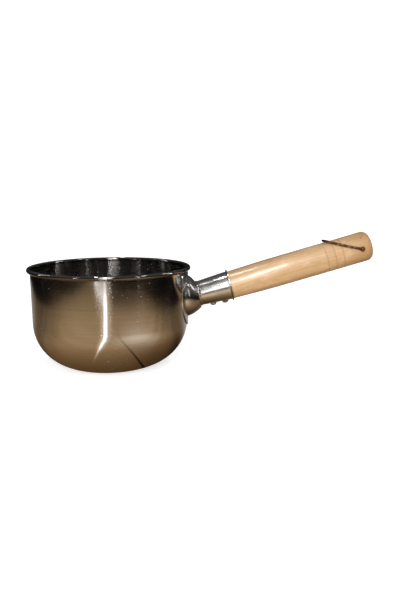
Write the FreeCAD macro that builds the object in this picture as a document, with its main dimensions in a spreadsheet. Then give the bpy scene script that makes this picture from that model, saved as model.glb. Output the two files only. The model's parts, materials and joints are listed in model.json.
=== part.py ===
import FreeCAD, Part
import math
import os
import Sketcher

# A small round-bottomed steel pan of about one litre, with a rolled rim, a stamped bracket, a tapered
# steel ferrule, a turned wooden grip held by two screws, and a wire loop to hang it by.
# Frame: the origin is on the ground under the middle of the pot, +Z is up, and the handle rises along +X.
# The sleeve and the grip each have an axis in the XZ plane, which starts above handle_x. The grip sits a
# little cocked in its sleeve, so the two axes differ by about a degree. Places along an axis, named *_at,
# are counted from its start. Lengths are millimetres and angles are degrees.

SIZES = {
    # The pot, drawn from one sheet
    "rim_radius": 70.0,
    "pot_height": 85.8,
    "pot_sheet": 0.8,
    "bead_radius": 1.85,
    "curl_past_bottom": 20.0,
    "bowl_arc": 39.5,
    "bowl_arc_height": 38.5,
    "base_blend": 12.0,
    # The two axes of the handle
    "handle_x": 67.0,
    "sleeve_z": 57.7,
    "sleeve_tilt": 14.7,
    "grip_z": 56.65,
    "grip_tilt": 15.98,
    # The stamped bracket: its plate on the wall and its boss round the sleeve's axis
    "stamped_sheet": 0.8,
    "plate_half_width": 25.9,
    "plate_bottom": 33.0,
    "plate_top": 81.6,
    "plate_corner": 4.0,
    "boss_inner_x": 61.0,
    "boss_foot_x": 68.0,
    "boss_foot_z": 58.4,
    "boss_foot_radius": 18.0,
    "boss_waist_x": 72.8,
    "boss_waist_z": 58.8,
    "boss_waist_tilt": 5.6,
    "boss_waist_radius": 15.4,
    "boss_mouth_at": 10.1,
    "boss_mouth_drop": 0.5,
    "boss_mouth_radius": 12.0,
    "boss_corner": 0.8,
    # The ferrule, swaged through the boss's mouth
    "ferrule_sheet": 0.8,
    "spigot_radius": 9.5,
    "spigot_gap": 0.06,
    "swage_radius": 10.5,
    "collar_radius": 10.9,
    "collar_width": 1.8,
    "collar_arc": 1.0,
    "sleeve_at": 12.6,
    "sleeve_neck_radius": 11.0,
    "sleeve_mouth_radius": 12.7,
    "flare": 0.7,
    "lip_radius": 14.1,
    "lip_at": 39.5,
    # The two screws under the ferrule
    "screw_inner_at": 21.2,
    "screw_outer_at": 31.9,
    "screw_head_radius": 2.8,
    "screw_head_height": 2.1,
    "screw_rim": 0.5,
    "screw_shank_radius": 1.25,
    "screw_shank_length": 9.0,
    "screw_point": 2.0,
    "screw_slot_width": 0.8,
    "screw_slot_depth": 0.9,
    "screw_seat_gap": 0.08,
    "screw_hole_gap": 0.15,
    "screw_pilot_gap": 0.05,
    # The turned grip
    "plug_at": 13.6,
    "plug_inner_gap": 0.8,
    "plug_mouth_gap": 0.35,
    "shoulder_at": 40.2,
    "shoulder_radius": 12.2,
    "belly_at": 92.4,
    "grip_radius": 13.2,
    "grip_end_at": 169.3,
    "crown_arc": 28.5,
    "end_blend": 5.5,
    "ring_at": 126.4,
    "ring_pitch": 7.2,
    "ring_count": 3,
    "ring_depth": 0.25,
    "ring_arc": 0.9,
    # The cross hole and the wire loop that turns in it
    "hole_at": 157.7,
    "wire_radius": 1.1,
    "wire_play": 0.08,
    "hole_chamfer": 0.8,
    "stub_inner": 3.5,
    "stub_outer": 13.1,
    "wire_bend": 1.9,
    "loop_length": 32.2,
    "loop_tip_arc": 8.6,
    "loop_rise": 27.3,
}


class Size:
    """A number together with the spreadsheet expression that gives it."""

    def __init__(self, value, text):
        self.value = float(value)
        self.text = text

    def __add__(self, other):
        other = as_size(other)
        return Size(self.value + other.value, f"({self.text} + {other.text})")

    def __sub__(self, other):
        other = as_size(other)
        return Size(self.value - other.value, f"({self.text} - {other.text})")

    def __mul__(self, other):
        other = as_size(other)
        return Size(self.value * other.value, f"({self.text} * {other.text})")

    def __truediv__(self, other):
        other = as_size(other)
        return Size(self.value / other.value, f"({self.text} / {other.text})")

    def __neg__(self):
        return Size(-self.value, f"(0 - {self.text})")


def as_size(number):
    if isinstance(number, Size):
        return number
    return Size(number, f"{float(number)}")


def root(size):
    return Size(math.sqrt(size.value), f"sqrt({size.text})")


def sine(size):
    return Size(math.sin(math.radians(size.value)), f"sin({size.text})")


def cosine(size):
    return Size(math.cos(math.radians(size.value)), f"cos({size.text})")


def size(name):
    return Size(SIZES[name], f"Sizes.{name}")


def make_sheet(doc):
    sheet = doc.addObject("Spreadsheet::Sheet", "Sizes")
    for row, (name, value) in enumerate(SIZES.items(), start=1):
        sheet.set(f"A{row}", name.replace("_", " "))
        sheet.set(f"B{row}", str(value))
        sheet.setAlias(f"B{row}", name)
    doc.recompute()


# ---- sketches -----------------------------------------------------------------------------------------


def bind(thing, path, amount):
    """Sets a property of thing, such as Length, to the sheet's expression for amount."""
    thing.setExpression(path, amount.text)


def new_sketch(body, name, role, along=None, up=None, tilt=None):
    """A sketch on one of the body's origin planes, moved along its normal, up it and leaned back by tilt."""
    sketch = body.newObject("Sketcher::SketchObject", name)
    plane = next(f for f in body.Origin.OriginFeatures if f.Role == role)
    sketch.AttachmentSupport = [(plane, "")]
    sketch.MapMode = "FlatFace"
    lean = tilt.value if tilt else 0.0
    turn = FreeCAD.Rotation(FreeCAD.Vector(-1, 0, 0), lean)
    sketch.AttachmentOffset = FreeCAD.Placement(FreeCAD.Vector(0, 0, 0), turn)
    if along:
        bind(sketch, "AttachmentOffset.Base.z", along)
    if up:
        bind(sketch, "AttachmentOffset.Base.y", up)
    if tilt:
        bind(sketch, "AttachmentOffset.Rotation.Angle", tilt)
    return sketch


def dimension(sketch, kind, places, amount):
    """A driving constraint whose value is bound to the sheet."""
    index = sketch.addConstraint(Sketcher.Constraint(kind, *places, amount.value))
    bind(sketch, f"Constraints[{index}]", amount)


def fix_point(sketch, geometry, end, x, y):
    """Dimensions one point of a sketch from its origin. A coordinate of 0 puts it on that axis."""
    if x == 0 and y == 0:
        sketch.addConstraint(Sketcher.Constraint("Coincident", geometry, end, -1, 1))
        return
    if x == 0:
        sketch.addConstraint(Sketcher.Constraint("PointOnObject", geometry, end, -2))
    else:
        dimension(sketch, "DistanceX", (geometry, end), as_size(x))
    if y == 0:
        sketch.addConstraint(Sketcher.Constraint("PointOnObject", geometry, end, -1))
    else:
        dimension(sketch, "DistanceY", (geometry, end), as_size(y))


def arc_centre(start, end, radius, turn):
    """The centre of an arc from start to end. turn is +1 anticlockwise and -1 clockwise, and 2 or -2 says
    that the arc is more than half a circle."""
    chord = end - start
    half = chord.Length / 2
    reach = math.sqrt(max(radius * radius - half * half, 0.0))
    left = FreeCAD.Vector(-chord.y, chord.x, 0).normalize()
    side = math.copysign(1, turn) * (1 if abs(turn) == 1 else -1)
    return (start + end) / 2 + left * (side * reach)


def add_arc(sketch, start, end, radius, turn):
    """Adds the arc and says which of its ends, 1 or 2, lies at start."""
    centre = arc_centre(start, end, radius.value, turn)
    first, last = (start, end) if turn > 0 else (end, start)
    from_angle = math.atan2(first.y - centre.y, first.x - centre.x)
    to_angle = math.atan2(last.y - centre.y, last.x - centre.x)
    circle = Part.Circle(centre, FreeCAD.Vector(0, 0, 1), radius.value)
    index = sketch.addGeometry(Part.ArcOfCircle(circle, from_angle, to_angle))
    dimension(sketch, "Radius", (index,), radius)
    return index, 1 if turn > 0 else 2


def draw(sketch, corners, arcs=None, closed=True):
    """Joins corners in turn by lines, or by an arc where arcs gives (radius, turn) for the corner that it
    starts from. Every corner is dimensioned from the sheet."""
    arcs = arcs or {}
    points = [FreeCAD.Vector(as_size(x).value, as_size(y).value, 0) for x, y in corners]
    stretches = []
    for i in range(len(corners) if closed else len(corners) - 1):
        start = points[i]
        end = points[(i + 1) % len(points)]
        if i in arcs:
            index, near = add_arc(sketch, start, end, *arcs[i])
        else:
            index, near = sketch.addGeometry(Part.LineSegment(start, end)), 1
        stretches.append((index, near))
    for i, (index, near) in enumerate(stretches):
        fix_point(sketch, index, near, *corners[i])
        if i + 1 < len(stretches) or closed:
            following, its_near = stretches[(i + 1) % len(stretches)]
            sketch.addConstraint(Sketcher.Constraint("Coincident", index, 3 - near, following, its_near))
        else:
            fix_point(sketch, index, 3 - near, *corners[-1])


def draw_circle(sketch, x, y, radius):
    centre = FreeCAD.Vector(as_size(x).value, as_size(y).value, 0)
    index = sketch.addGeometry(Part.Circle(centre, FreeCAD.Vector(0, 0, 1), radius.value))
    dimension(sketch, "Radius", (index,), radius)
    fix_point(sketch, index, 3, x, y)


# ---- features -----------------------------------------------------------------------------------------


def new_body(doc, label):
    body = doc.addObject("PartDesign::Body", label)
    body.Label = label
    return body


def turn_profile(body, kind, name, sketch, axis):
    """A Revolution, or a Groove, of the sketch about one of its own axes."""
    feature = body.newObject(f"PartDesign::{kind}", name)
    feature.Profile = sketch
    feature.ReferenceAxis = (sketch, [axis])
    feature.Angle = 360
    sketch.Visibility = False
    return feature


def cut_through(body, name, sketch, backwards=False, both_ways=False):
    pocket = body.newObject("PartDesign::Pocket", name)
    pocket.Profile = sketch
    pocket.Type = "ThroughAll"
    pocket.Reversed = backwards
    if both_ways:
        pocket.SideType = "Symmetric"
    return pocket


def edges_where(shape, test):
    """The names of the edges whose middle passes the test, which gets that point and the edge."""
    found = []
    for number, edge in enumerate(shape.Edges, start=1):
        if edge.Degenerated:
            continue
        middle = edge.valueAt((edge.FirstParameter + edge.LastParameter) / 2)
        if test(middle, edge):
            found.append(f"Edge{number}")
    return found


def dress(doc, body, kind, name, test, amount):
    """A Fillet or Chamfer on the edges of the body's last feature that pass the test."""
    doc.recompute()
    base = body.Tip
    names = edges_where(base.Shape, test)
    feature = body.newObject(f"PartDesign::{kind}", name)
    feature.Base = (base, names)
    bind(feature, "Radius" if kind == "Fillet" else "Size", amount)
    return feature


def is_ring(edge, radius):
    return abs(edge.Length - 2 * math.pi * radius.value) < 0.05


def axis_point(axis, at, out=0):
    """X and Z of a point at along the sleeve's or the grip's axis and out above it."""
    tilt = size(f"{axis}_tilt")
    x = size("handle_x") + at * cosine(tilt) - as_size(out) * sine(tilt)
    z = size(f"{axis}_z") + at * sine(tilt) + as_size(out) * cosine(tilt)
    return x, z


def screw_seat(at_name):
    """X and Z of the point under a screw's head, on the sleeve's underside."""
    at = size(at_name)
    under = sleeve_radius(at + size("screw_head_radius")) + size("screw_seat_gap")
    return axis_point("sleeve", at, -under)


def stand(body, x, z, angle):
    """Puts the body's origin at x, z and turns it about -Y by the angle."""
    turn = FreeCAD.Rotation(FreeCAD.Vector(0, -1, 0), angle.value)
    body.Placement = FreeCAD.Placement(FreeCAD.Vector(0, 0, 0), turn)
    bind(body, "Placement.Base.x", x)
    bind(body, "Placement.Base.z", z)
    bind(body, "Placement.Rotation.Angle", angle)


def wall_radius():
    """The outside of the pot's wall, so that the curl comes out to the rim's radius."""
    return size("rim_radius") - size("bead_radius") * 2 + size("pot_sheet")


# ---- the pot ------------------------------------------------------------------------------------------


def make_pot(doc):
    body = new_body(doc, "pot_bowl")
    sheet = size("pot_sheet")
    wall = wall_radius()
    arc = size("bowl_arc")
    arc_z = size("bowl_arc_height")
    bead = size("bead_radius")
    bead_x = size("rim_radius") - bead
    bead_z = size("pot_height") - bead
    past = size("curl_past_bottom")
    base_outside = wall - arc + root(arc * arc - arc_z * arc_z)
    inner_arc = arc - sheet
    inner_z = arc_z - sheet
    base_inside = wall - arc + root(inner_arc * inner_arc - inner_z * inner_z)
    inner_bead = bead - sheet
    sketch = new_sketch(body, "pot_section", "XZ_Plane")
    corners = [
        (0, 0),
        (base_outside, 0),
        (wall, arc_z),
        (wall, bead_z),
        (bead_x - inner_bead * sine(past), bead_z - inner_bead * cosine(past)),
        (bead_x - bead * sine(past), bead_z - bead * cosine(past)),
        (wall - sheet, bead_z),
        (wall - sheet, arc_z),
        (base_inside, sheet),
        (0, sheet),
    ]
    draw(sketch, corners, {1: (arc, 1), 3: (inner_bead, -2), 5: (bead, 2), 7: (inner_arc, -1)})
    turn_profile(body, "Revolution", "drawn_sheet", sketch, "V_Axis")
    blend = size("base_blend")
    dress(doc, body, "Fillet", "outer_blend", lambda p, e: is_ring(e, base_outside), blend)
    dress(doc, body, "Fillet", "inner_blend", lambda p, e: is_ring(e, base_inside), blend - sheet)
    return body


# ---- the bracket --------------------------------------------------------------------------------------


def draw_plate(sketch):
    """The plate's outline from the front: straight sides, a round foot and two small top corners."""
    half = size("plate_half_width")
    top = size("plate_top")
    corner = size("plate_corner")
    foot_z = size("plate_bottom") + half
    corners = [
        (0, size("plate_bottom")),
        (half, foot_z),
        (half, top - corner),
        (half - corner, top),
        (corner - half, top),
        (-half, top - corner),
        (-half, foot_z),
    ]
    draw(sketch, corners, {0: (half, 1), 2: (corner, 1), 4: (corner, 1), 6: (half, 1)})


def draw_ring(sketch, inner, outer):
    """A tall rectangle from one radius to another, to turn about the pot's axis."""
    height = size("pot_height") + 20
    draw(sketch, [(inner, 0), (outer, 0), (outer, height), (inner, height)])


def boss_sections(body, prefix, less, mouth_at):
    """Four circles, from inside the pot's wall out to the boss's mouth, smaller by less."""
    foot = size("boss_foot_radius") - less
    mouth_x, mouth_z = axis_point("sleeve", mouth_at, -size("boss_mouth_drop"))
    places = [
        (size("boss_inner_x"), size("boss_foot_z"), None, foot),
        (size("boss_foot_x"), size("boss_foot_z"), None, foot),
        (size("boss_waist_x"), size("boss_waist_z"), size("boss_waist_tilt"), size("boss_waist_radius") - less),
        (mouth_x, mouth_z, size("sleeve_tilt"), size("boss_mouth_radius") - less),
    ]
    sketches = []
    for number, (x, z, tilt, radius) in enumerate(places, start=1):
        sketch = new_sketch(body, f"{prefix}_section_{number}", "YZ_Plane", x, z, tilt)
        draw_circle(sketch, 0, 0, radius)
        sketches.append(sketch)
    return sketches


def loft(body, kind, name, sketches):
    feature = body.newObject(f"PartDesign::{kind}", name)
    feature.Profile = sketches[0]
    feature.Sections = sketches[1:]
    return feature


def make_bracket(doc):
    body = new_body(doc, "handle_bracket")
    sheet = size("stamped_sheet")
    outline = new_sketch(body, "plate_outline", "YZ_Plane", size("boss_inner_x") - 30)
    draw_plate(outline)
    pad = body.newObject("PartDesign::Pad", "plate_block")
    pad.Profile = outline
    bind(pad, "Length", wall_radius())
    outside = new_sketch(body, "outside_ring", "XZ_Plane")
    draw_ring(outside, wall_radius() + sheet, wall_radius() * 2)
    turn_profile(body, "Groove", "outer_face", outside, "V_Axis")
    loft(body, "AdditiveLoft", "boss", boss_sections(body, "boss", as_size(0), size("boss_mouth_at")))
    mouth_ring = size("boss_mouth_radius")
    dress(doc, body, "Fillet", "boss_round", lambda p, e: is_ring(e, mouth_ring), size("boss_corner"))
    hollow = boss_sections(body, "hollow", sheet, size("boss_mouth_at") - sheet)
    loft(body, "SubtractiveLoft", "boss_hollow", hollow)
    inside = new_sketch(body, "inside_ring", "XZ_Plane")
    draw_ring(inside, 0, wall_radius())
    turn_profile(body, "Groove", "inner_face", inside, "V_Axis")
    mouth_x, mouth_z = axis_point("sleeve", size("boss_mouth_at"))
    hole = new_sketch(body, "spigot_hole_circle", "YZ_Plane", mouth_x, mouth_z, size("sleeve_tilt"))
    draw_circle(hole, 0, 0, size("spigot_radius") + size("spigot_gap"))
    pocket = body.newObject("PartDesign::Pocket", "spigot_hole")
    pocket.Profile = hole
    bind(pocket, "Length", sheet * 3)
    return body


# ---- the ferrule --------------------------------------------------------------------------------------


def sleeve_radius(at):
    """The tapered sleeve's outside radius at a place along the axis."""
    start = size("sleeve_at")
    neck = size("sleeve_neck_radius")
    rise = size("sleeve_mouth_radius") - neck
    return neck + rise * (at - start) / (size("lip_at") - start)


def make_ferrule(doc):
    body = new_body(doc, "ferrule")
    sheet = size("ferrule_sheet")
    mouth_at = size("boss_mouth_at")
    swage_at = mouth_at - size("stamped_sheet")
    spigot = size("spigot_radius")
    collar = size("collar_radius")
    collar_end = mouth_at + size("collar_width")
    sleeve_at = size("sleeve_at")
    lip_at = size("lip_at")
    lip_back = lip_at - sheet
    flare = size("flare")
    flare_at = lip_back - flare
    flare_radius = sleeve_radius(flare_at)
    corners = [
        (swage_at - sheet, spigot - sheet),
        (swage_at - sheet, size("swage_radius")),
        (swage_at, size("swage_radius")),
        (swage_at, spigot),
        (mouth_at, spigot),
        (mouth_at, collar),
        (collar_end, collar),
        (sleeve_at, size("sleeve_neck_radius")),
        (flare_at, flare_radius),
        (lip_back, flare_radius + flare),
        (lip_back, size("lip_radius")),
        (lip_at, size("lip_radius")),
        (lip_at, sleeve_radius(lip_at) - sheet),
        (sleeve_at, size("sleeve_neck_radius") - sheet),
        (mouth_at + sheet, spigot - sheet),
    ]
    sketch = new_sketch(body, "ferrule_section", "XZ_Plane")
    draw(sketch, corners, {5: (size("collar_arc"), -1), 8: (flare * 1.2, 1)})
    turn_profile(body, "Revolution", "sleeve", sketch, "H_Axis")
    holes = new_sketch(body, "screw_hole_circles", "XY_Plane")
    for name in ("screw_inner_at", "screw_outer_at"):
        draw_circle(holes, size(name), 0, size("screw_shank_radius") + size("screw_hole_gap"))
    cut_through(body, "screw_holes", holes)
    stand(body, size("handle_x"), size("sleeve_z"), size("sleeve_tilt"))
    return body


# ---- the screws ---------------------------------------------------------------------------------------


def make_screw(doc, label, at_name):
    """A slotted round-head wood screw. Its own +Z points out of the head, and its origin is under it."""
    body = new_body(doc, label)
    head = size("screw_head_radius")
    rim = size("screw_rim")
    height = size("screw_head_height")
    shank = size("screw_shank_radius")
    length = size("screw_shank_length")
    dome = height - rim
    dome_arc = (head * head + dome * dome) / (dome * 2)
    corners = [
        (0, -(length + size("screw_point"))),
        (shank, -length),
        (shank, 0),
        (head, 0),
        (head, rim),
        (0, height),
    ]
    sketch = new_sketch(body, "screw_section", "XZ_Plane")
    draw(sketch, corners, {4: (dome_arc, 1)})
    turn_profile(body, "Revolution", "turned_screw", sketch, "V_Axis")
    slot = new_sketch(body, "slot_outline", "XY_Plane", height - size("screw_slot_depth"))
    half = size("screw_slot_width") / 2
    draw(slot, [(-head, -half), (head, -half), (head, half), (-head, half)])
    cut_through(body, "slot", slot, backwards=True)
    stand(body, *screw_seat(at_name), size("grip_tilt") + 180)
    return body


# ---- the grip -----------------------------------------------------------------------------------------


def make_grip(doc):
    body = new_body(doc, "wooden_grip")
    sheet = size("ferrule_sheet")
    plug_at = size("plug_at")
    shoulder_at = size("shoulder_at")
    radius = size("grip_radius")
    crown = size("crown_arc")
    end_at = size("grip_end_at")
    corner_at = end_at - crown + root(crown * crown - radius * radius)
    swell = size("belly_at") - shoulder_at
    rise = radius - size("shoulder_radius")
    belly = (swell * swell + rise * rise) / (rise * 2)
    corners = [
        (plug_at, 0),
        (plug_at, sleeve_radius(plug_at) - sheet - size("plug_inner_gap")),
        (shoulder_at, sleeve_radius(shoulder_at) - sheet - size("plug_mouth_gap")),
        (shoulder_at, size("shoulder_radius")),
        (size("belly_at"), radius),
        (corner_at, radius),
        (end_at, 0),
    ]
    sketch = new_sketch(body, "grip_section", "XZ_Plane")
    draw(sketch, corners, {3: (belly, -1), 5: (crown, -1)})
    turn_profile(body, "Revolution", "turned_grip", sketch, "H_Axis")
    dress(doc, body, "Fillet", "round_end", lambda p, e: is_ring(e, radius) and p.x > end_at.value - 10,
          size("end_blend"))
    cut_rings(doc, body)
    drill_grip(doc, body)
    stand(body, size("handle_x"), size("grip_z"), size("grip_tilt"))
    return body


def cut_rings(doc, body):
    """Shallow turned rings, one cut and then repeated along the grip."""
    section = new_sketch(body, "ring_section", "XZ_Plane")
    arc = size("ring_arc")
    draw_circle(section, size("ring_at"), size("grip_radius") + arc - size("ring_depth"), arc)
    ring = turn_profile(body, "Groove", "turned_ring", section, "H_Axis")
    doc.recompute()
    rings = body.newObject("PartDesign::LinearPattern", "turned_rings")
    rings.Originals = [ring]
    rings.Direction = (section, ["H_Axis"])
    bind(rings, "Length", size("ring_pitch") * (size("ring_count") - 1))
    bind(rings, "Occurrences", size("ring_count"))
    body.Tip = rings


def drill_grip(doc, body):
    """The pilot holes for the screws, and the cross hole with its countersunk mouths."""
    pilots = new_sketch(body, "pilot_circles", "XY_Plane")
    tilt = size("grip_tilt")
    for name in ("screw_inner_at", "screw_outer_at"):
        x, z = screw_seat(name)
        at = (x - size("handle_x")) * cosine(tilt) + (z - size("grip_z")) * sine(tilt)
        draw_circle(pilots, at, 0, size("screw_shank_radius") + size("screw_pilot_gap"))
    cut_through(body, "pilot_holes", pilots)
    bore = size("wire_radius") + size("wire_play")
    circle = new_sketch(body, "cross_hole_circle", "XZ_Plane")
    draw_circle(circle, size("hole_at"), 0, bore)
    cut_through(body, "cross_hole", circle, both_ways=True)
    reach = SIZES["grip_radius"] * 0.95
    near_hole = SIZES["wire_radius"] * 2
    dress(doc, body, "Chamfer", "hole_mouths",
          lambda p, e: abs(p.y) > reach and abs(p.x - SIZES["hole_at"]) < near_hole and e.Length < 12,
          size("hole_chamfer"))


# ---- the wire loop ------------------------------------------------------------------------------------


def make_loop(doc):
    """Half of the bent wire, swept along its line and mirrored. Its own X runs from the hole to the tip."""
    body = new_body(doc, "hanging_loop")
    bend = size("wire_bend")
    tip = size("loop_tip_arc")
    stub = size("stub_outer")
    side = stub + bend
    tip_x = size("loop_length") - tip
    run = tip_x - bend
    leg = (run * run + side * side - tip * tip) / ((side - tip) * 2)
    # The leg's arc and the tip's arc touch on the line through their centres.
    leg_y = leg - side
    far = leg - tip
    join_x = tip_x + run * tip / far
    join_y = -(leg_y * tip / far)
    path = new_sketch(body, "wire_line", "XY_Plane")
    corners = [
        (0, -size("stub_inner")),
        (0, -stub),
        (bend, -side),
        (join_x, join_y),
        (size("loop_length"), 0),
    ]
    draw(path, corners, {1: (bend, 1), 2: (leg, 1), 3: (tip, 1)}, closed=False)
    section = new_sketch(body, "wire_section", "XZ_Plane", size("stub_inner"))
    draw_circle(section, 0, 0, size("wire_radius"))
    doc.recompute()
    pipe = body.newObject("PartDesign::AdditivePipe", "half_loop")
    pipe.Profile = section
    pipe.Spine = (path, [f"Edge{n}" for n in range(1, 5)])
    doc.recompute()
    mirror = body.newObject("PartDesign::Mirrored", "whole_loop")
    mirror.Originals = [pipe]
    mirror.MirrorPlane = (path, ["H_Axis"])
    body.Tip = mirror
    x, z = axis_point("grip", size("hole_at"))
    stand(body, x, z, size("grip_tilt") + 180 - size("loop_rise"))
    return body


# ---- the whole ----------------------------------------------------------------------------------------


def check(doc, bodies):
    """Stops before anything is written if an object failed or a piece isn't one good solid."""
    doc.recompute()
    for thing in doc.Objects:
        if "Invalid" in thing.State or "Error" in thing.State:
            raise RuntimeError(f"{thing.Label} failed: {thing.State}")
    for body in bodies:
        shape = body.Shape
        if shape.isNull() or not shape.isValid() or len(shape.Solids) != 1:
            raise RuntimeError(f"{body.Label} isn't one valid solid")
        box = shape.BoundBox
        print(f"{body.Label}: {shape.Volume:.0f} mm3, x {box.XMin:.1f} to {box.XMax:.1f}, "
              f"y {box.YMin:.1f} to {box.YMax:.1f}, z {box.ZMin:.1f} to {box.ZMax:.1f}")


def main():
    doc = FreeCAD.newDocument("pan")
    make_sheet(doc)
    bodies = [
        make_pot(doc),
        make_bracket(doc),
        make_ferrule(doc),
        make_screw(doc, "ferrule_screw_inner", "screw_inner_at"),
        make_screw(doc, "ferrule_screw_outer", "screw_outer_at"),
        make_grip(doc),
        make_loop(doc),
    ]
    check(doc, bodies)
    os.makedirs("parts", exist_ok=True)
    for body in bodies:
        body.Shape.exportStep(f"parts/{body.Label}.step")


main()
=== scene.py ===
import json
import math

import bpy
import numpy as np
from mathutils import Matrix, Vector


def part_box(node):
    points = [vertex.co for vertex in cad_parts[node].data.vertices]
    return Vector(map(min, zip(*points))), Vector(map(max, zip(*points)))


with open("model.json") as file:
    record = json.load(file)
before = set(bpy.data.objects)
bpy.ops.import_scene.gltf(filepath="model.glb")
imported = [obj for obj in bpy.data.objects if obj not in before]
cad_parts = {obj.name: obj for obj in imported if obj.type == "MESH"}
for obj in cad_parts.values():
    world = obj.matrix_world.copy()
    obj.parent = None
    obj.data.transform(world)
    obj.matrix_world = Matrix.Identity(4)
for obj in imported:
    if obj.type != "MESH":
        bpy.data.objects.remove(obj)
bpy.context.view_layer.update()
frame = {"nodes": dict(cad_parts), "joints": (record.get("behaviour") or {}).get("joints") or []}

# A small steel pan with a wooden handle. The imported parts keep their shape: this script gives them
# their finishes, the small marks that a finish carries, a stage, lights and a camera.
# Everything is in metres, in the part's own frame: the pot stands on z = 0 and the handle rises along +X.

NODES = frame["nodes"]
MILLIMETRE = 0.001


# ---------------------------------------------------------------- places, read from the frame


def long_axis(node):
    """The point where a long round part's axis starts, its unit direction in the XZ plane, and its length."""
    points = np.array([v.co for v in NODES[node].data.vertices])
    centre = points.mean(axis=0)
    centre[1] = 0.0
    along = np.linalg.svd(points - centre, full_matrices=False)[2][0]
    along[1] = 0.0
    along = along / np.linalg.norm(along) * np.sign(along[0])
    places = (points - centre) @ along
    start = centre + along * places.min()
    return Vector(start), Vector(along), float(places.max() - places.min())


GRIP_START, GRIP_ALONG, GRIP_LENGTH = long_axis("wooden_grip")
GRIP_UP = Vector((-GRIP_ALONG.z, 0.0, GRIP_ALONG.x))
GRIP_TILT = math.atan2(GRIP_ALONG.z, GRIP_ALONG.x)
FERRULE_START, FERRULE_ALONG, FERRULE_LENGTH = long_axis("ferrule")
POT_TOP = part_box("pot_bowl")[1]
POT_RADIUS = POT_TOP.x
SEAM = POT_TOP.z - 3.4 * MILLIMETRE  # where the rolled bead meets the wall
HINGE = Vector(frame["joints"][0]["pos_m"])


# ---------------------------------------------------------------- colours


def grey(level, warmth=0.0):
    return (level * (1 + warmth), level, level * (1 - warmth), 1.0)


WHITE = (1.0, 1.0, 1.0, 1.0)

STEEL = grey(0.60, 0.03)
STEEL_BRIGHT = grey(0.64, 0.03)
STEEL_SCRATCHED = grey(0.52, 0.04)
STEEL_CLOUDED = grey(0.54, 0.06)
STEEL_INSIDE_SHADE = grey(0.22, 0.08)
BEAD_SHADE = grey(0.22, 0.1)
SEAM_SHADE = grey(0.07, 0.25)
WATER_MARK = grey(0.86, 0.02)
EDGE_SHADE = grey(0.10, 0.25)
SCREW_DOME = grey(0.78, 0.03)
SCREW_GREASE = grey(0.10, 0.2)
WIRE_DARK = (0.085, 0.038, 0.018, 1.0)
WIRE_BROWN = (0.34, 0.185, 0.11, 1.0)
WIRE_WORN_AND_GLINT = (0.80, 0.68, 0.60, 1.0)

WOOD_PALE = (0.82, 0.555, 0.30, 1.0)
WOOD_CLOUD = (0.76, 0.48, 0.24, 1.0)
WOOD_LATE = (0.50, 0.275, 0.125, 1.0)
WOOD_FIBRE = (0.55, 0.33, 0.16, 1.0)
WOOD_LIGHT_BLOTCH = (0.90, 0.66, 0.42, 1.0)
WOOD_DARK_BLOTCH = (0.66, 0.38, 0.16, 1.0)
WOOD_FLECK = (0.36, 0.19, 0.085, 1.0)
WOOD_WARM_END = (0.52, 0.26, 0.09, 1.0)
WOOD_GROOVE_SHADE = (0.36, 0.17, 0.06, 1.0)
WOOD_KNOT = (0.20, 0.09, 0.03, 1.0)
HOLE_SHADE = (0.055, 0.022, 0.008, 1.0)

FLOOR_GREY = (0.82, 0.82, 0.82, 1.0)
TABLE_DARK = (0.35, 0.225, 0.115, 1.0)
TABLE_LIGHT = (0.43, 0.30, 0.17, 1.0)
TABLE_SHADOW_UNDER_POT = (0.34, 0.17, 0.06, 1.0)
TABLE_LIT_PATCH = (0.86, 0.76, 0.62, 1.0)
TABLE_BEHIND = (0.62, 0.60, 0.57, 1.0)


# ---------------------------------------------------------------- a short way to write node materials


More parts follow.
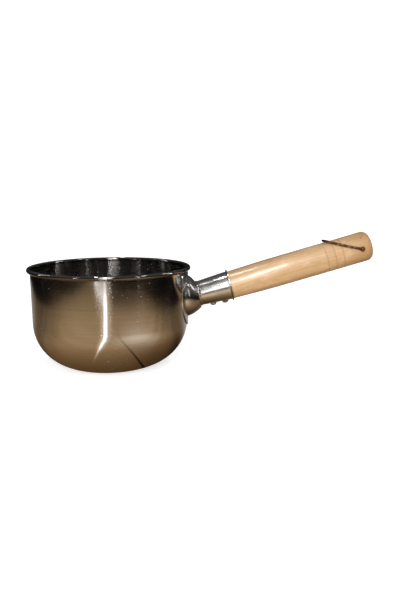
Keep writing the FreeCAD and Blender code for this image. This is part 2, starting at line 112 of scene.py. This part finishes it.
class Look:
    """A node material, with one method for each kind of node that this script uses."""

    def __init__(self, name):
        self.material = bpy.data.materials.new(name)
        self.material.use_nodes = True
        self.tree = self.material.node_tree
        self.tree.nodes.clear()
        self.out = self.tree.nodes.new("ShaderNodeOutputMaterial")

    def node(self, kind, inputs=None, **settings):
        made = self.tree.nodes.new(kind)
        for key, value in settings.items():
            setattr(made, key, value)
        for key, value in (inputs or {}).items():
            self.feed(made.inputs[key], value)
        return made

    def feed(self, socket, value):
        if isinstance(value, bpy.types.NodeSocket):
            self.tree.links.new(value, socket)
        else:
            socket.default_value = value

    def place(self):
        return self.node("ShaderNodeTexCoord").outputs["Object"]

    def math(self, operation, first, second=0.0):
        return self.node("ShaderNodeMath", {0: first, 1: second}, operation=operation).outputs[0]

    def plus(self, first, second):
        return self.math("ADD", first, second)

    def minus(self, first, second):
        return self.math("SUBTRACT", first, second)

    def times(self, first, second):
        return self.math("MULTIPLY", first, second)

    def over(self, first, second):
        return self.math("DIVIDE", first, second)

    def past(self, value, limit):
        """How far value is over limit, and 0 where it is under."""
        return self.math("MAXIMUM", self.minus(value, limit), 0.0)

    def apart(self, first, second):
        return self.math("ABSOLUTE", self.minus(first, second))

    def vector(self, operation, first, second=(0.0, 0.0, 0.0)):
        made = self.node("ShaderNodeVectorMath", {0: first, 1: second}, operation=operation)
        return made.outputs["Value" if operation in ("LENGTH", "DOT_PRODUCT") else "Vector"]

    def length(self, vector):
        return self.vector("LENGTH", vector)

    def split(self, vector):
        return self.node("ShaderNodeSeparateXYZ", {"Vector": vector}).outputs

    def join(self, first=0.0, second=0.0, third=0.0):
        return self.node("ShaderNodeCombineXYZ", {"X": first, "Y": second, "Z": third}).outputs[0]

    def noise(self, vector, scale=1.0, detail=2.0, roughness=0.5, fourth=None):
        """Cloudy noise, 0 to 1. `fourth` is one more direction to run in."""
        inputs = {"Vector": vector, "Scale": scale, "Detail": detail, "Roughness": roughness}
        if fourth is not None:
            inputs["W"] = fourth
        made = self.node("ShaderNodeTexNoise", noise_dimensions="3D" if fourth is None else "4D")
        for key, value in inputs.items():
            self.feed(made.inputs[key], value)
        return made.outputs["Fac"]

    def stretched_noise(self, vector, scales, **settings):
        return self.noise(self.vector("MULTIPLY", vector, scales), **settings)

    def between(self, value, low, high, to_low=0.0, to_high=1.0):
        """A smooth step: to_low where value is under low, to_high where it is over high."""
        made = self.node("ShaderNodeMapRange", interpolation_type="SMOOTHSTEP")
        for socket, number in zip(made.inputs, (value, low, high, to_low, to_high)):
            self.feed(socket, number)
        return made.outputs[0]

    def mix(self, share, first, second):
        made = self.node("ShaderNodeMix", data_type="RGBA")
        self.feed(made.inputs[0], share)
        self.feed(made.inputs[6], first)
        self.feed(made.inputs[7], second)
        return made.outputs[2]

    def bump(self, height, depth, under=None):
        inputs = {"Height": height, "Distance": depth}
        if under is not None:
            inputs["Normal"] = under
        return self.node("ShaderNodeBump", inputs).outputs[0]

    def end(self, shader):
        self.tree.links.new(shader.outputs[0], self.out.inputs[0])
        return self.material

    def finish(self, **inputs):
        named = {key.replace("_", " "): value for key, value in inputs.items()}
        return self.end(self.node("ShaderNodeBsdfPrincipled", named))


def paint(node, material):
    """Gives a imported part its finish."""
    for held in NODES[node].material_slots:
        held.link = "OBJECT"
        held.material = material


# ---------------------------------------------------------------- steel


def ring_noise(look, place, pitch, arc, detail=2.0):
    """Noise drawn out into rings round the Z axis: pitch is their spacing, arc how far one ring runs."""
    x, y, z = look.split(place)
    radius = look.length(look.join(x, y))
    runs = POT_RADIUS / arc
    east = look.times(look.over(x, radius), runs)
    north = look.times(look.over(y, radius), runs)
    vector = look.join(look.over(radius, pitch), look.over(z, pitch), east)
    return look.noise(vector, detail=detail, fourth=north)


def turned_steel():
    """The pot's wall: bright steel with fine rings left by the polishing wheel, and a few water marks.
    Painted shade darkens the inside, the rolled bead and a thin line just under the bead.
    """
    look = Look("turned_steel")
    place = look.place()
    x, y, z = look.split(place)
    scratches = ring_noise(look, place, pitch=0.10 * MILLIMETRE, arc=60 * MILLIMETRE, detail=1.0)
    rings = ring_noise(look, place, pitch=1.8 * MILLIMETRE, arc=160 * MILLIMETRE)
    cloud = look.noise(place, scale=38.0, detail=3.0)
    spot = look.noise(place, scale=620.0, detail=1.0)
    marks = look.times(look.between(spot, 0.73, 0.76), look.between(cloud, 0.45, 0.6))

    facing = look.node("ShaderNodeNewGeometry").outputs["True Normal"]
    outward = look.vector("DOT_PRODUCT", facing, look.join(x, y))
    inside = look.between(outward, -0.01, 0.01, 1.0, 0.0)
    bead = look.between(z, SEAM + 0.6 * MILLIMETRE, SEAM + 1.0 * MILLIMETRE)
    over_seam = look.between(z, SEAM - 0.9 * MILLIMETRE, SEAM - 0.1 * MILLIMETRE)
    under_bead = look.between(z, SEAM + 0.8 * MILLIMETRE, SEAM + 2.2 * MILLIMETRE, 1.0, 0.0)

    tone = look.mix(look.between(rings, 0.35, 0.7), STEEL, STEEL_BRIGHT)
    tone = look.mix(look.between(scratches, 0.3, 0.75, 0.0, 0.2), tone, STEEL_SCRATCHED)
    tone = look.mix(look.between(cloud, 0.45, 0.75, 0.0, 0.2), tone, STEEL_CLOUDED)
    # Painted shade: a dark line on the wall just under the rolled bead.
    tone = look.mix(look.times(look.times(over_seam, under_bead), 0.85), tone, SEAM_SHADE)
    # Painted shade: the rolled bead is darkened.
    tone = look.mix(look.times(bead, 0.75), tone, BEAD_SHADE)
    # Painted shade: the inside of the pot is darkened.
    tone = look.mix(look.times(inside, 0.5), tone, STEEL_INSIDE_SHADE)
    tone = look.mix(marks, tone, WATER_MARK)

    rough = look.between(cloud, 0.35, 0.7, 0.07, 0.10)
    rough = look.plus(rough, look.between(scratches, 0.50, 0.70, 0.0, 0.05))
    rough = look.plus(rough, look.times(inside, 0.05))
    rough = look.times(rough, look.minus(1.0, look.times(bead, 0.6)))
    rough = look.plus(rough, look.times(marks, 0.4))

    raised = look.bump(rings, 0.004 * MILLIMETRE)
    raised = look.bump(scratches, 0.0008 * MILLIMETRE, raised)
    return look.finish(
        Base_Color=tone,
        Metallic=1.0,
        Roughness=rough,
        Anisotropic=1.0,
        Anisotropic_Rotation=0.25,
        Tangent=look.node("ShaderNodeTangent", direction_type="RADIAL", axis="Z").outputs[0],
        Normal=raised,
    )


def polished_steel(name, level, roughness, edge=None):
    """Pressed sheet with a mirror polish gone a little dull. `edge`, if given, is the start, direction and
    length of the part's axis: the rim at its far end is darkened with painted shade."""
    look = Look(name)
    place = look.place()
    marks = look.stretched_noise(place, (160.0, 160.0, 2600.0), detail=3.0)
    cloud = look.noise(place, scale=120.0, detail=4.0, roughness=0.6)
    tone = look.mix(look.between(cloud, 0.35, 0.75, 0.0, 0.6), grey(level, 0.02), grey(level * 0.8, 0.05))
    rough = look.between(cloud, 0.3, 0.75, roughness, roughness * 1.6)
    if edge is not None:
        start, along, reach = edge
        at = look.vector("DOT_PRODUCT", look.vector("SUBTRACT", place, start), along)
        rim = look.between(at, reach - 1.3 * MILLIMETRE, reach - 0.7 * MILLIMETRE)
        # Painted shade: the rim at the ferrule's far end, where it meets the wood, is darkened.
        tone = look.mix(look.times(rim, 0.85), tone, EDGE_SHADE)
        rough = look.plus(rough, look.times(rim, 0.2))
    raised = look.bump(cloud, 0.012 * MILLIMETRE)
    raised = look.bump(marks, 0.002 * MILLIMETRE, raised)
    return look.finish(Base_Color=tone, Metallic=1.0, Roughness=rough, Normal=raised)


def screw_steel():
    """A plain wood screw: bright on its dome, darker where grease and dust have gathered."""
    look = Look("screw_steel")
    dirt = look.noise(look.place(), scale=700.0, detail=4.0, roughness=0.65)
    return look.finish(
        Base_Color=look.mix(look.between(dirt, 0.46, 0.66), SCREW_DOME, SCREW_GREASE),
        Metallic=1.0,
        Roughness=look.between(dirt, 0.35, 0.75, 0.2, 0.5),
        Normal=look.bump(dirt, 0.02 * MILLIMETRE),
    )


def wire_steel():
    """The loop's wire: brown with age, worn back to metal in places; the pale patches are also painted
    glints.
    """
    look = Look("wire_steel")
    place = look.place()
    age = look.noise(place, scale=420.0, detail=4.0, roughness=0.6)
    pits = look.noise(place, scale=2200.0, detail=2.0)
    tone = look.mix(look.between(age, 0.4, 0.62), WIRE_DARK, WIRE_BROWN)
    # Worn metal and painted glints: pale pinkish patches.
    tone = look.mix(look.between(age, 0.58, 0.68, 0.0, 0.9), tone, WIRE_WORN_AND_GLINT)
    return look.finish(
        Base_Color=tone,
        Metallic=0.7,
        Roughness=look.between(age, 0.4, 0.7, 0.45, 0.28),
        Normal=look.bump(pits, 0.03 * MILLIMETRE),
    )


# ---------------------------------------------------------------- wood

RING_WIDTH = 2.6 * MILLIMETRE
RING_DRIFT = 9 * MILLIMETRE
PITH_SIDE = 31 * MILLIMETRE
PITH_UP = 17 * MILLIMETRE
GROOVE_FROM_END = 28.5 * MILLIMETRE  # the groove nearest the tip; the other two are further in
GROOVE_PITCH = 7.2 * MILLIMETRE
KNOT = HINGE + GRIP_ALONG * (1.6 * MILLIMETRE) + GRIP_UP * (9.3 * MILLIMETRE)
KNOT.y -= 9.3 * MILLIMETRE


def growth_rings(look, place):
    """1 in the dark late wood of each growth ring. The rings lie round a pith that is outside the grip."""
    _, side, up = look.split(place)
    drift = look.stretched_noise(place, (9.0, 60.0, 60.0), detail=2.0)
    from_pith = look.length(look.join(0.0, look.plus(side, PITH_SIDE), look.plus(up, PITH_UP)))
    distance = look.plus(from_pith, look.times(look.minus(drift, 0.5), RING_DRIFT))
    ring = look.math("FRACT", look.over(distance, RING_WIDTH))
    return look.times(look.between(ring, 0.25, 0.9), look.between(ring, 0.9, 1.0, 1.0, 0.0))


def turned_grooves(look, along):
    """0.2 in the three fine grooves round the grip, and 0 elsewhere."""
    turn = look.over(look.minus(look.minus(GRIP_LENGTH, along), GROOVE_FROM_END), GROOVE_PITCH)
    off = look.apart(turn, look.math("ROUND", turn))
    three_turns = look.times(look.between(turn, -0.4, -0.2), look.between(turn, 2.2, 2.4, 1.0, 0.0))
    return look.times(look.between(off, 0.05, 0.14, 0.2, 0.0), three_turns)


def turned_wood():
    """Pale beech, turned and varnished: growth rings round an off-centre pith, short flecks, a warmer end.
    Painted shade darkens the grooves and the loop's hole.
    """
    look = Look("turned_wood")
    level = look.node(
        "ShaderNodeVectorRotate",
        {"Vector": look.place(), "Center": GRIP_START, "Angle": GRIP_TILT},
        rotation_type="Y_AXIS",
    ).outputs[0]
    place = look.vector("SUBTRACT", level, GRIP_START)
    along = look.split(place)[0]
    cloud = look.stretched_noise(place, (14.0, 70.0, 70.0), detail=3.0)
    fibre = look.stretched_noise(place, (120.0, 2400.0, 2400.0), detail=3.0, roughness=0.6)
    blotch = look.stretched_noise(place, (85.0, 190.0, 190.0), detail=3.0)
    fleck = look.stretched_noise(place, (420.0, 2600.0, 2600.0), detail=1.0)
    flecks = look.between(fleck, 0.66, 0.74)
    warm_end = look.between(along, GRIP_LENGTH * 0.80, GRIP_LENGTH)
    from_knot = look.length(look.vector("SUBTRACT", look.place(), KNOT))
    knot = look.between(from_knot, 0.4 * MILLIMETRE, 1.1 * MILLIMETRE, 0.75, 0.0)
    # Painted shade: the loop's hole and a thin ring round it are darkened.
    hole_x, _, hole_z = look.split(look.vector("SUBTRACT", look.place(), HINGE))
    from_hole = look.length(look.join(hole_x, 0.0, hole_z))
    hole_shade = look.between(from_hole, 1.9 * MILLIMETRE, 2.5 * MILLIMETRE, 0.9, 0.0)

    tone = look.mix(look.between(cloud, 0.3, 0.7), WOOD_PALE, WOOD_CLOUD)
    tone = look.mix(look.times(growth_rings(look, place), 0.24), tone, WOOD_LATE)
    tone = look.mix(look.between(fibre, 0.4, 0.75, 0.0, 0.24), tone, WOOD_FIBRE)
    tone = look.mix(look.between(blotch, 0.52, 0.72, 0.0, 0.5), tone, WOOD_LIGHT_BLOTCH)
    tone = look.mix(look.between(blotch, 0.30, 0.46, 0.45, 0.0), tone, WOOD_DARK_BLOTCH)
    tone = look.mix(look.times(flecks, 0.4), tone, WOOD_FLECK)
    tone = look.mix(look.times(warm_end, 0.6), tone, WOOD_WARM_END)
    # Painted shade: the wood is darker in the three turned grooves.
    tone = look.mix(turned_grooves(look, along), tone, WOOD_GROOVE_SHADE)
    tone = look.mix(knot, tone, WOOD_KNOT)
    tone = look.mix(hole_shade, tone, HOLE_SHADE)

    height = look.plus(fibre, look.times(flecks, -0.6))
    return look.finish(
        Base_Color=tone,
        Roughness=look.between(fibre, 0.3, 0.8, 0.34, 0.5),
        Normal=look.bump(height, 0.02 * MILLIMETRE),
        Coat_Weight=look.between(along, 0.05, 0.12, 1.0, 0.3),
        Coat_Roughness=0.2,
    )


paint("pot_bowl", turned_steel())
paint("handle_bracket", polished_steel("bracket_steel", 0.60, 0.16))
ferrule_axis = (FERRULE_START, FERRULE_ALONG, FERRULE_LENGTH)
paint("ferrule", polished_steel("ferrule_steel", 0.66, 0.16, edge=ferrule_axis))
screw_finish = screw_steel()
paint("ferrule_screw_inner", screw_finish)
paint("ferrule_screw_outer", screw_finish)
paint("wooden_grip", turned_wood())
paint("hanging_loop", wire_steel())


# ---------------------------------------------------------------- stage

FLOOR_REACH = 6.0
TABLE_HEIGHT = -1 * MILLIMETRE
BOSS_SHADE = 0.03  # how far the painted shadow under the pot stretches towards the handle
LIT_X, LIT_Y = 0.10, -0.14  # the middle of the painted pool of light
GLARE_START = -0.052  # y where the window's glare begins, in front of the pot
REAR_GLARE_START = 0.03  # y where the glare begins behind the pot
GAP_SKEW = 0.108  # how far the gap between two boards drifts towards -X per metre along +Y
GAP_X = 0.027  # where that gap crosses y = 0
TABLE_CORNERS = [
    (-0.36, 0.45), (-0.36, -0.25), (-0.22, -0.60), (0.02, -0.60), (0.06, -0.40), (0.30, -0.27), (0.33, 0.45),
]


def plane(name, corners, height, material):
    """A flat, level piece of the stage through these corners."""
    mesh = bpy.data.meshes.new(name)
    mesh.from_pydata([(x, y, height) for x, y in corners], [], [tuple(range(len(corners)))])
    made = bpy.data.objects.new(name, mesh)
    made.data.materials.append(material)
    bpy.context.scene.collection.objects.link(made)
    return made


def pale_floor():
    """A white floor that fades into the white room, and that the steel and the wood don't see."""
    look = Look("pale_floor")
    x, y, _ = look.split(look.place())
    far = look.length(look.join(x, y))
    # The floor glows: painted light, weaker near the pot and full white far off.
    material = look.finish(
        Base_Color=FLOOR_GREY,
        Roughness=0.9,
        Emission_Color=WHITE,
        Emission_Strength=look.between(far, 0.3, 1.6, 0.72, 1.0),
    )
    ends = (-FLOOR_REACH, FLOOR_REACH)
    corners = [(ends[0], ends[0]), (ends[1], ends[0]), (ends[1], ends[1]), (ends[0], ends[1])]
    floor = plane("floor", corners, 0.0, material)
    floor.visible_glossy = False
    floor.visible_diffuse = False


def streak(look, aside, out, bearing, width):
    """1 along a line on the table that runs `bearing` aside per metre out from the pot, and 0 beside it."""
    slant = look.over(aside, look.math("MAXIMUM", out, 0.001))
    off = look.apart(slant, bearing)
    core = look.between(off, 0.0, width, 0.78, 0.0)
    halo = look.between(off, 0.0, 3.0 * width, 0.22, 0.0)
    return look.times(look.plus(core, halo), look.between(out, 0.0, 0.08))


def window_glare(look, x, y, away):
    """The window's glare on the table: a bent streak in front of the pot and two faint ones behind it."""
    far_bend = look.past(away, 0.40)
    near_bend = look.times(look.past(0.12, away), 0.07)
    aside = look.plus(look.plus(x, 0.006), look.plus(far_bend, near_bend))
    front = streak(look, aside, away, bearing=0.0, width=0.07)
    out = look.minus(y, REAR_GLARE_START)
    left = streak(look, x, out, bearing=-0.45, width=0.16)
    right = streak(look, x, out, bearing=0.3, width=0.07)
    return look.plus(front, look.times(look.plus(left, right), 0.45))


def board_gap(look, x, y):
    """0.9 in the dark gap between two boards in front of the pot, and 0 elsewhere."""
    off = look.apart(look.plus(x, look.times(y, GAP_SKEW)), GAP_X)
    length = look.times(look.between(y, -0.235, -0.20), look.between(y, -0.02, 0.0, 1.0, 0.0))
    return look.times(look.between(off, 0.6 * MILLIMETRE, 1.6 * MILLIMETRE, 0.9, 0.0), length)


def table_top():
    """What the steel mirrors below it: a glowing brown table seen only in reflections, with a painted shadow
    where the pot stands, a painted pool of light, paler and brighter behind the pot, and the window's glare.
    """
    look = Look("table_top")
    place = look.place()
    x, y, _ = look.split(place)
    beside = look.minus(x, look.math("MINIMUM", look.math("MAXIMUM", x, 0.0), BOSS_SHADE))
    near = look.length(look.join(beside, y))
    ahead = look.over(look.times(y, -1.0), look.math("MAXIMUM", near, 0.001))
    behind = look.between(ahead, -0.98, -0.3, 1.0, 0.0)
    lit_patch = look.length(look.join(look.minus(x, LIT_X), look.minus(y, LIT_Y)))
    grain = look.stretched_noise(place, (3.0, 30.0, 1.0), detail=4.0)
    away = look.minus(GLARE_START, y)
    glare = window_glare(look, x, y, away)

    tone = look.mix(look.between(grain, 0.3, 0.7), TABLE_DARK, TABLE_LIGHT)
    # Painted shadow: the table is darker round the pot's foot.
    tone = look.mix(look.between(near, 0.03, 0.13, 0.8, 0.0), tone, TABLE_SHADOW_UNDER_POT)
    tone = look.mix(look.between(lit_patch, 0.01, 0.11, 0.6, 0.0), tone, TABLE_LIT_PATCH)
    tone = look.mix(behind, tone, TABLE_BEHIND)
    tone = look.mix(glare, tone, WHITE)

    # Painted shadow under the pot, and the glow fading far away.
    light = look.times(look.between(near, 0.02, 0.12, 0.15, 1.0), look.between(near, 0.2, 0.5, 1.0, 0.55))
    light = look.times(light, look.between(ahead, -0.2, 0.8, 0.4, 1.2))
    light = look.times(light, look.plus(1.0, look.times(behind, 1.1)))
    light = look.plus(light, look.times(glare, look.between(away, 0.30, 0.50, 2.4, 4.5)))
    light = look.times(light, look.minus(1.0, board_gap(look, x, y)))
    material = look.end(look.node("ShaderNodeEmission", {"Color": tone, "Strength": light}))
    table = plane("table", TABLE_CORNERS, TABLE_HEIGHT, material)
    table.visible_camera = False
    table.visible_shadow = False


# ---------------------------------------------------------------- light

SOFT_LIGHT = 0.08
WHITE_TO_CAMERA = 1.05


def panel(name, place, aim, width, height, power, glossy=True, diffuse=True):
    """An area light of width by height at place, turned to aim, with its power in watts."""
    data = bpy.data.lights.new(name, "AREA")
    data.shape = "RECTANGLE"
    data.size = width
    data.size_y = height
    data.energy = power
    lamp = bpy.data.objects.new(name, data)
    bpy.context.scene.collection.objects.link(lamp)
    lamp.location = place
    lamp.rotation_mode = "QUATERNION"
    lamp.rotation_quaternion = (Vector(aim) - Vector(place)).to_track_quat("-Z", "Y")
    lamp.visible_camera = False
    lamp.visible_glossy = glossy
    lamp.visible_diffuse = diffuse


def room():
    """White to the camera. Steel mirrors a grey ceiling over a black horizon. Wood gets some soft light."""
    world = bpy.data.worlds.new("room")
    world.use_nodes = True
    tree = world.node_tree
    tree.nodes.clear()
    path = tree.nodes.new("ShaderNodeLightPath")

    def sky(strength=0.0):
        made = tree.nodes.new("ShaderNodeBackground")
        made.inputs["Color"].default_value = WHITE
        made.inputs["Strength"].default_value = strength
        return made

    def either(ray, usual, special):
        made = tree.nodes.new("ShaderNodeMixShader")
        for socket, source in zip(made.inputs, (path.outputs[ray], usual.outputs[0], special.outputs[0])):
            tree.links.new(source, socket)
        return made

    height = tree.nodes.new("ShaderNodeSeparateXYZ")
    tree.links.new(tree.nodes.new("ShaderNodeTexCoord").outputs["Generated"], height.inputs[0])
    ceiling = tree.nodes.new("ShaderNodeMapRange")
    tree.links.new(height.outputs["Z"], ceiling.inputs[0])
    horizon, overhead, dark, dim = 0.0, 0.5, 0.004, 0.10
    for socket, number in zip(ceiling.inputs[1:5], (horizon, overhead, dark, dim)):
        socket.default_value = number
    mirrored = sky()
    tree.links.new(ceiling.outputs[0], mirrored.inputs["Strength"])

    shown = either("Is Glossy Ray", sky(SOFT_LIGHT), mirrored)
    shown = either("Is Camera Ray", shown, sky(WHITE_TO_CAMERA))
    out = tree.nodes.new("ShaderNodeOutputWorld")
    tree.links.new(shown.outputs[0], out.inputs[0])
    bpy.context.scene.world = world


pale_floor()
table_top()
room()

MIDDLE = (0.08, 0.0, 0.05)
RIM = (0.02, 0.0, 0.10)
FERRULE = (0.12, 0.0, 0.09)
GRIP_FOOT = (0.12, 0.0, 0.10)
WINDOW = (-0.04, -2.0, 1.35)
STRIP_HEIGHT = 1.3

panel("window", WINDOW, RIM, 0.12, 1.1, 7.0)
panel("window_gap", WINDOW, RIM, 0.02, 1.1, 13.0, diffuse=False)
panel("window_sill", (-0.04, -2.0, 0.42), RIM, 0.5, 0.7, 2.4)
panel("ceiling_glow", (-0.04, -1.15, 1.7), FERRULE, 0.4, 1.5, 6.0, diffuse=False)
panel("lamp_over_pot", (-0.31, -0.09, 1.8), MIDDLE, 0.25, 0.06, 3.5)
panel("lamp_over_handle", (1.0, -0.35, 1.5), MIDDLE, 0.2, 0.1, 0.8)
panel("lamp_before_handle", (0.22, -2.0, 0.38), GRIP_FOOT, 0.2, 0.2, 1.6, diffuse=False)
panel("soft_key", (-0.2, -1.6, 0.9), MIDDLE, 0.8, 0.8, 10.0, glossy=False)
panel("soft_low", (0.3, -1.4, 0.05), MIDDLE, 1.2, 0.3, 10.0, glossy=False)
panel("soft_fill", (0.9, 1.6, 1.4), MIDDLE, 1.4, 1.0, 14.0, glossy=False)
panel("strip_left", (-1.9, 0.45, 0.9), MIDDLE, 0.08, STRIP_HEIGHT, 2.0)
panel("strip_right", (1.9, 0.3, 0.9), MIDDLE, 0.08, STRIP_HEIGHT, 3.0)
panel("strip_front_left", (-1.3, -1.45, 0.9), MIDDLE, 0.06, STRIP_HEIGHT, 1.0)
panel("strip_front_right", (1.35, -1.35, 0.9), MIDDLE, 0.06, STRIP_HEIGHT, 1.0)


# ---------------------------------------------------------------- camera

CAMERA_PLACE = (0.054105, -0.473385, 0.143383)
CAMERA_LOOKS_ALONG = Vector((0.051428, 0.98129, -0.18555))

camera_data = bpy.data.cameras.new("camera")
camera_data.sensor_width = 36.0
camera_data.lens = 32.491
camera = bpy.data.objects.new("camera", camera_data)
bpy.context.scene.collection.objects.link(camera)
camera.location = CAMERA_PLACE
camera.rotation_mode = "QUATERNION"
camera.rotation_quaternion = CAMERA_LOOKS_ALONG.to_track_quat("-Z", "Y")
bpy.context.scene.camera = camera
bpy.context.scene.view_settings.view_transform = "Standard"
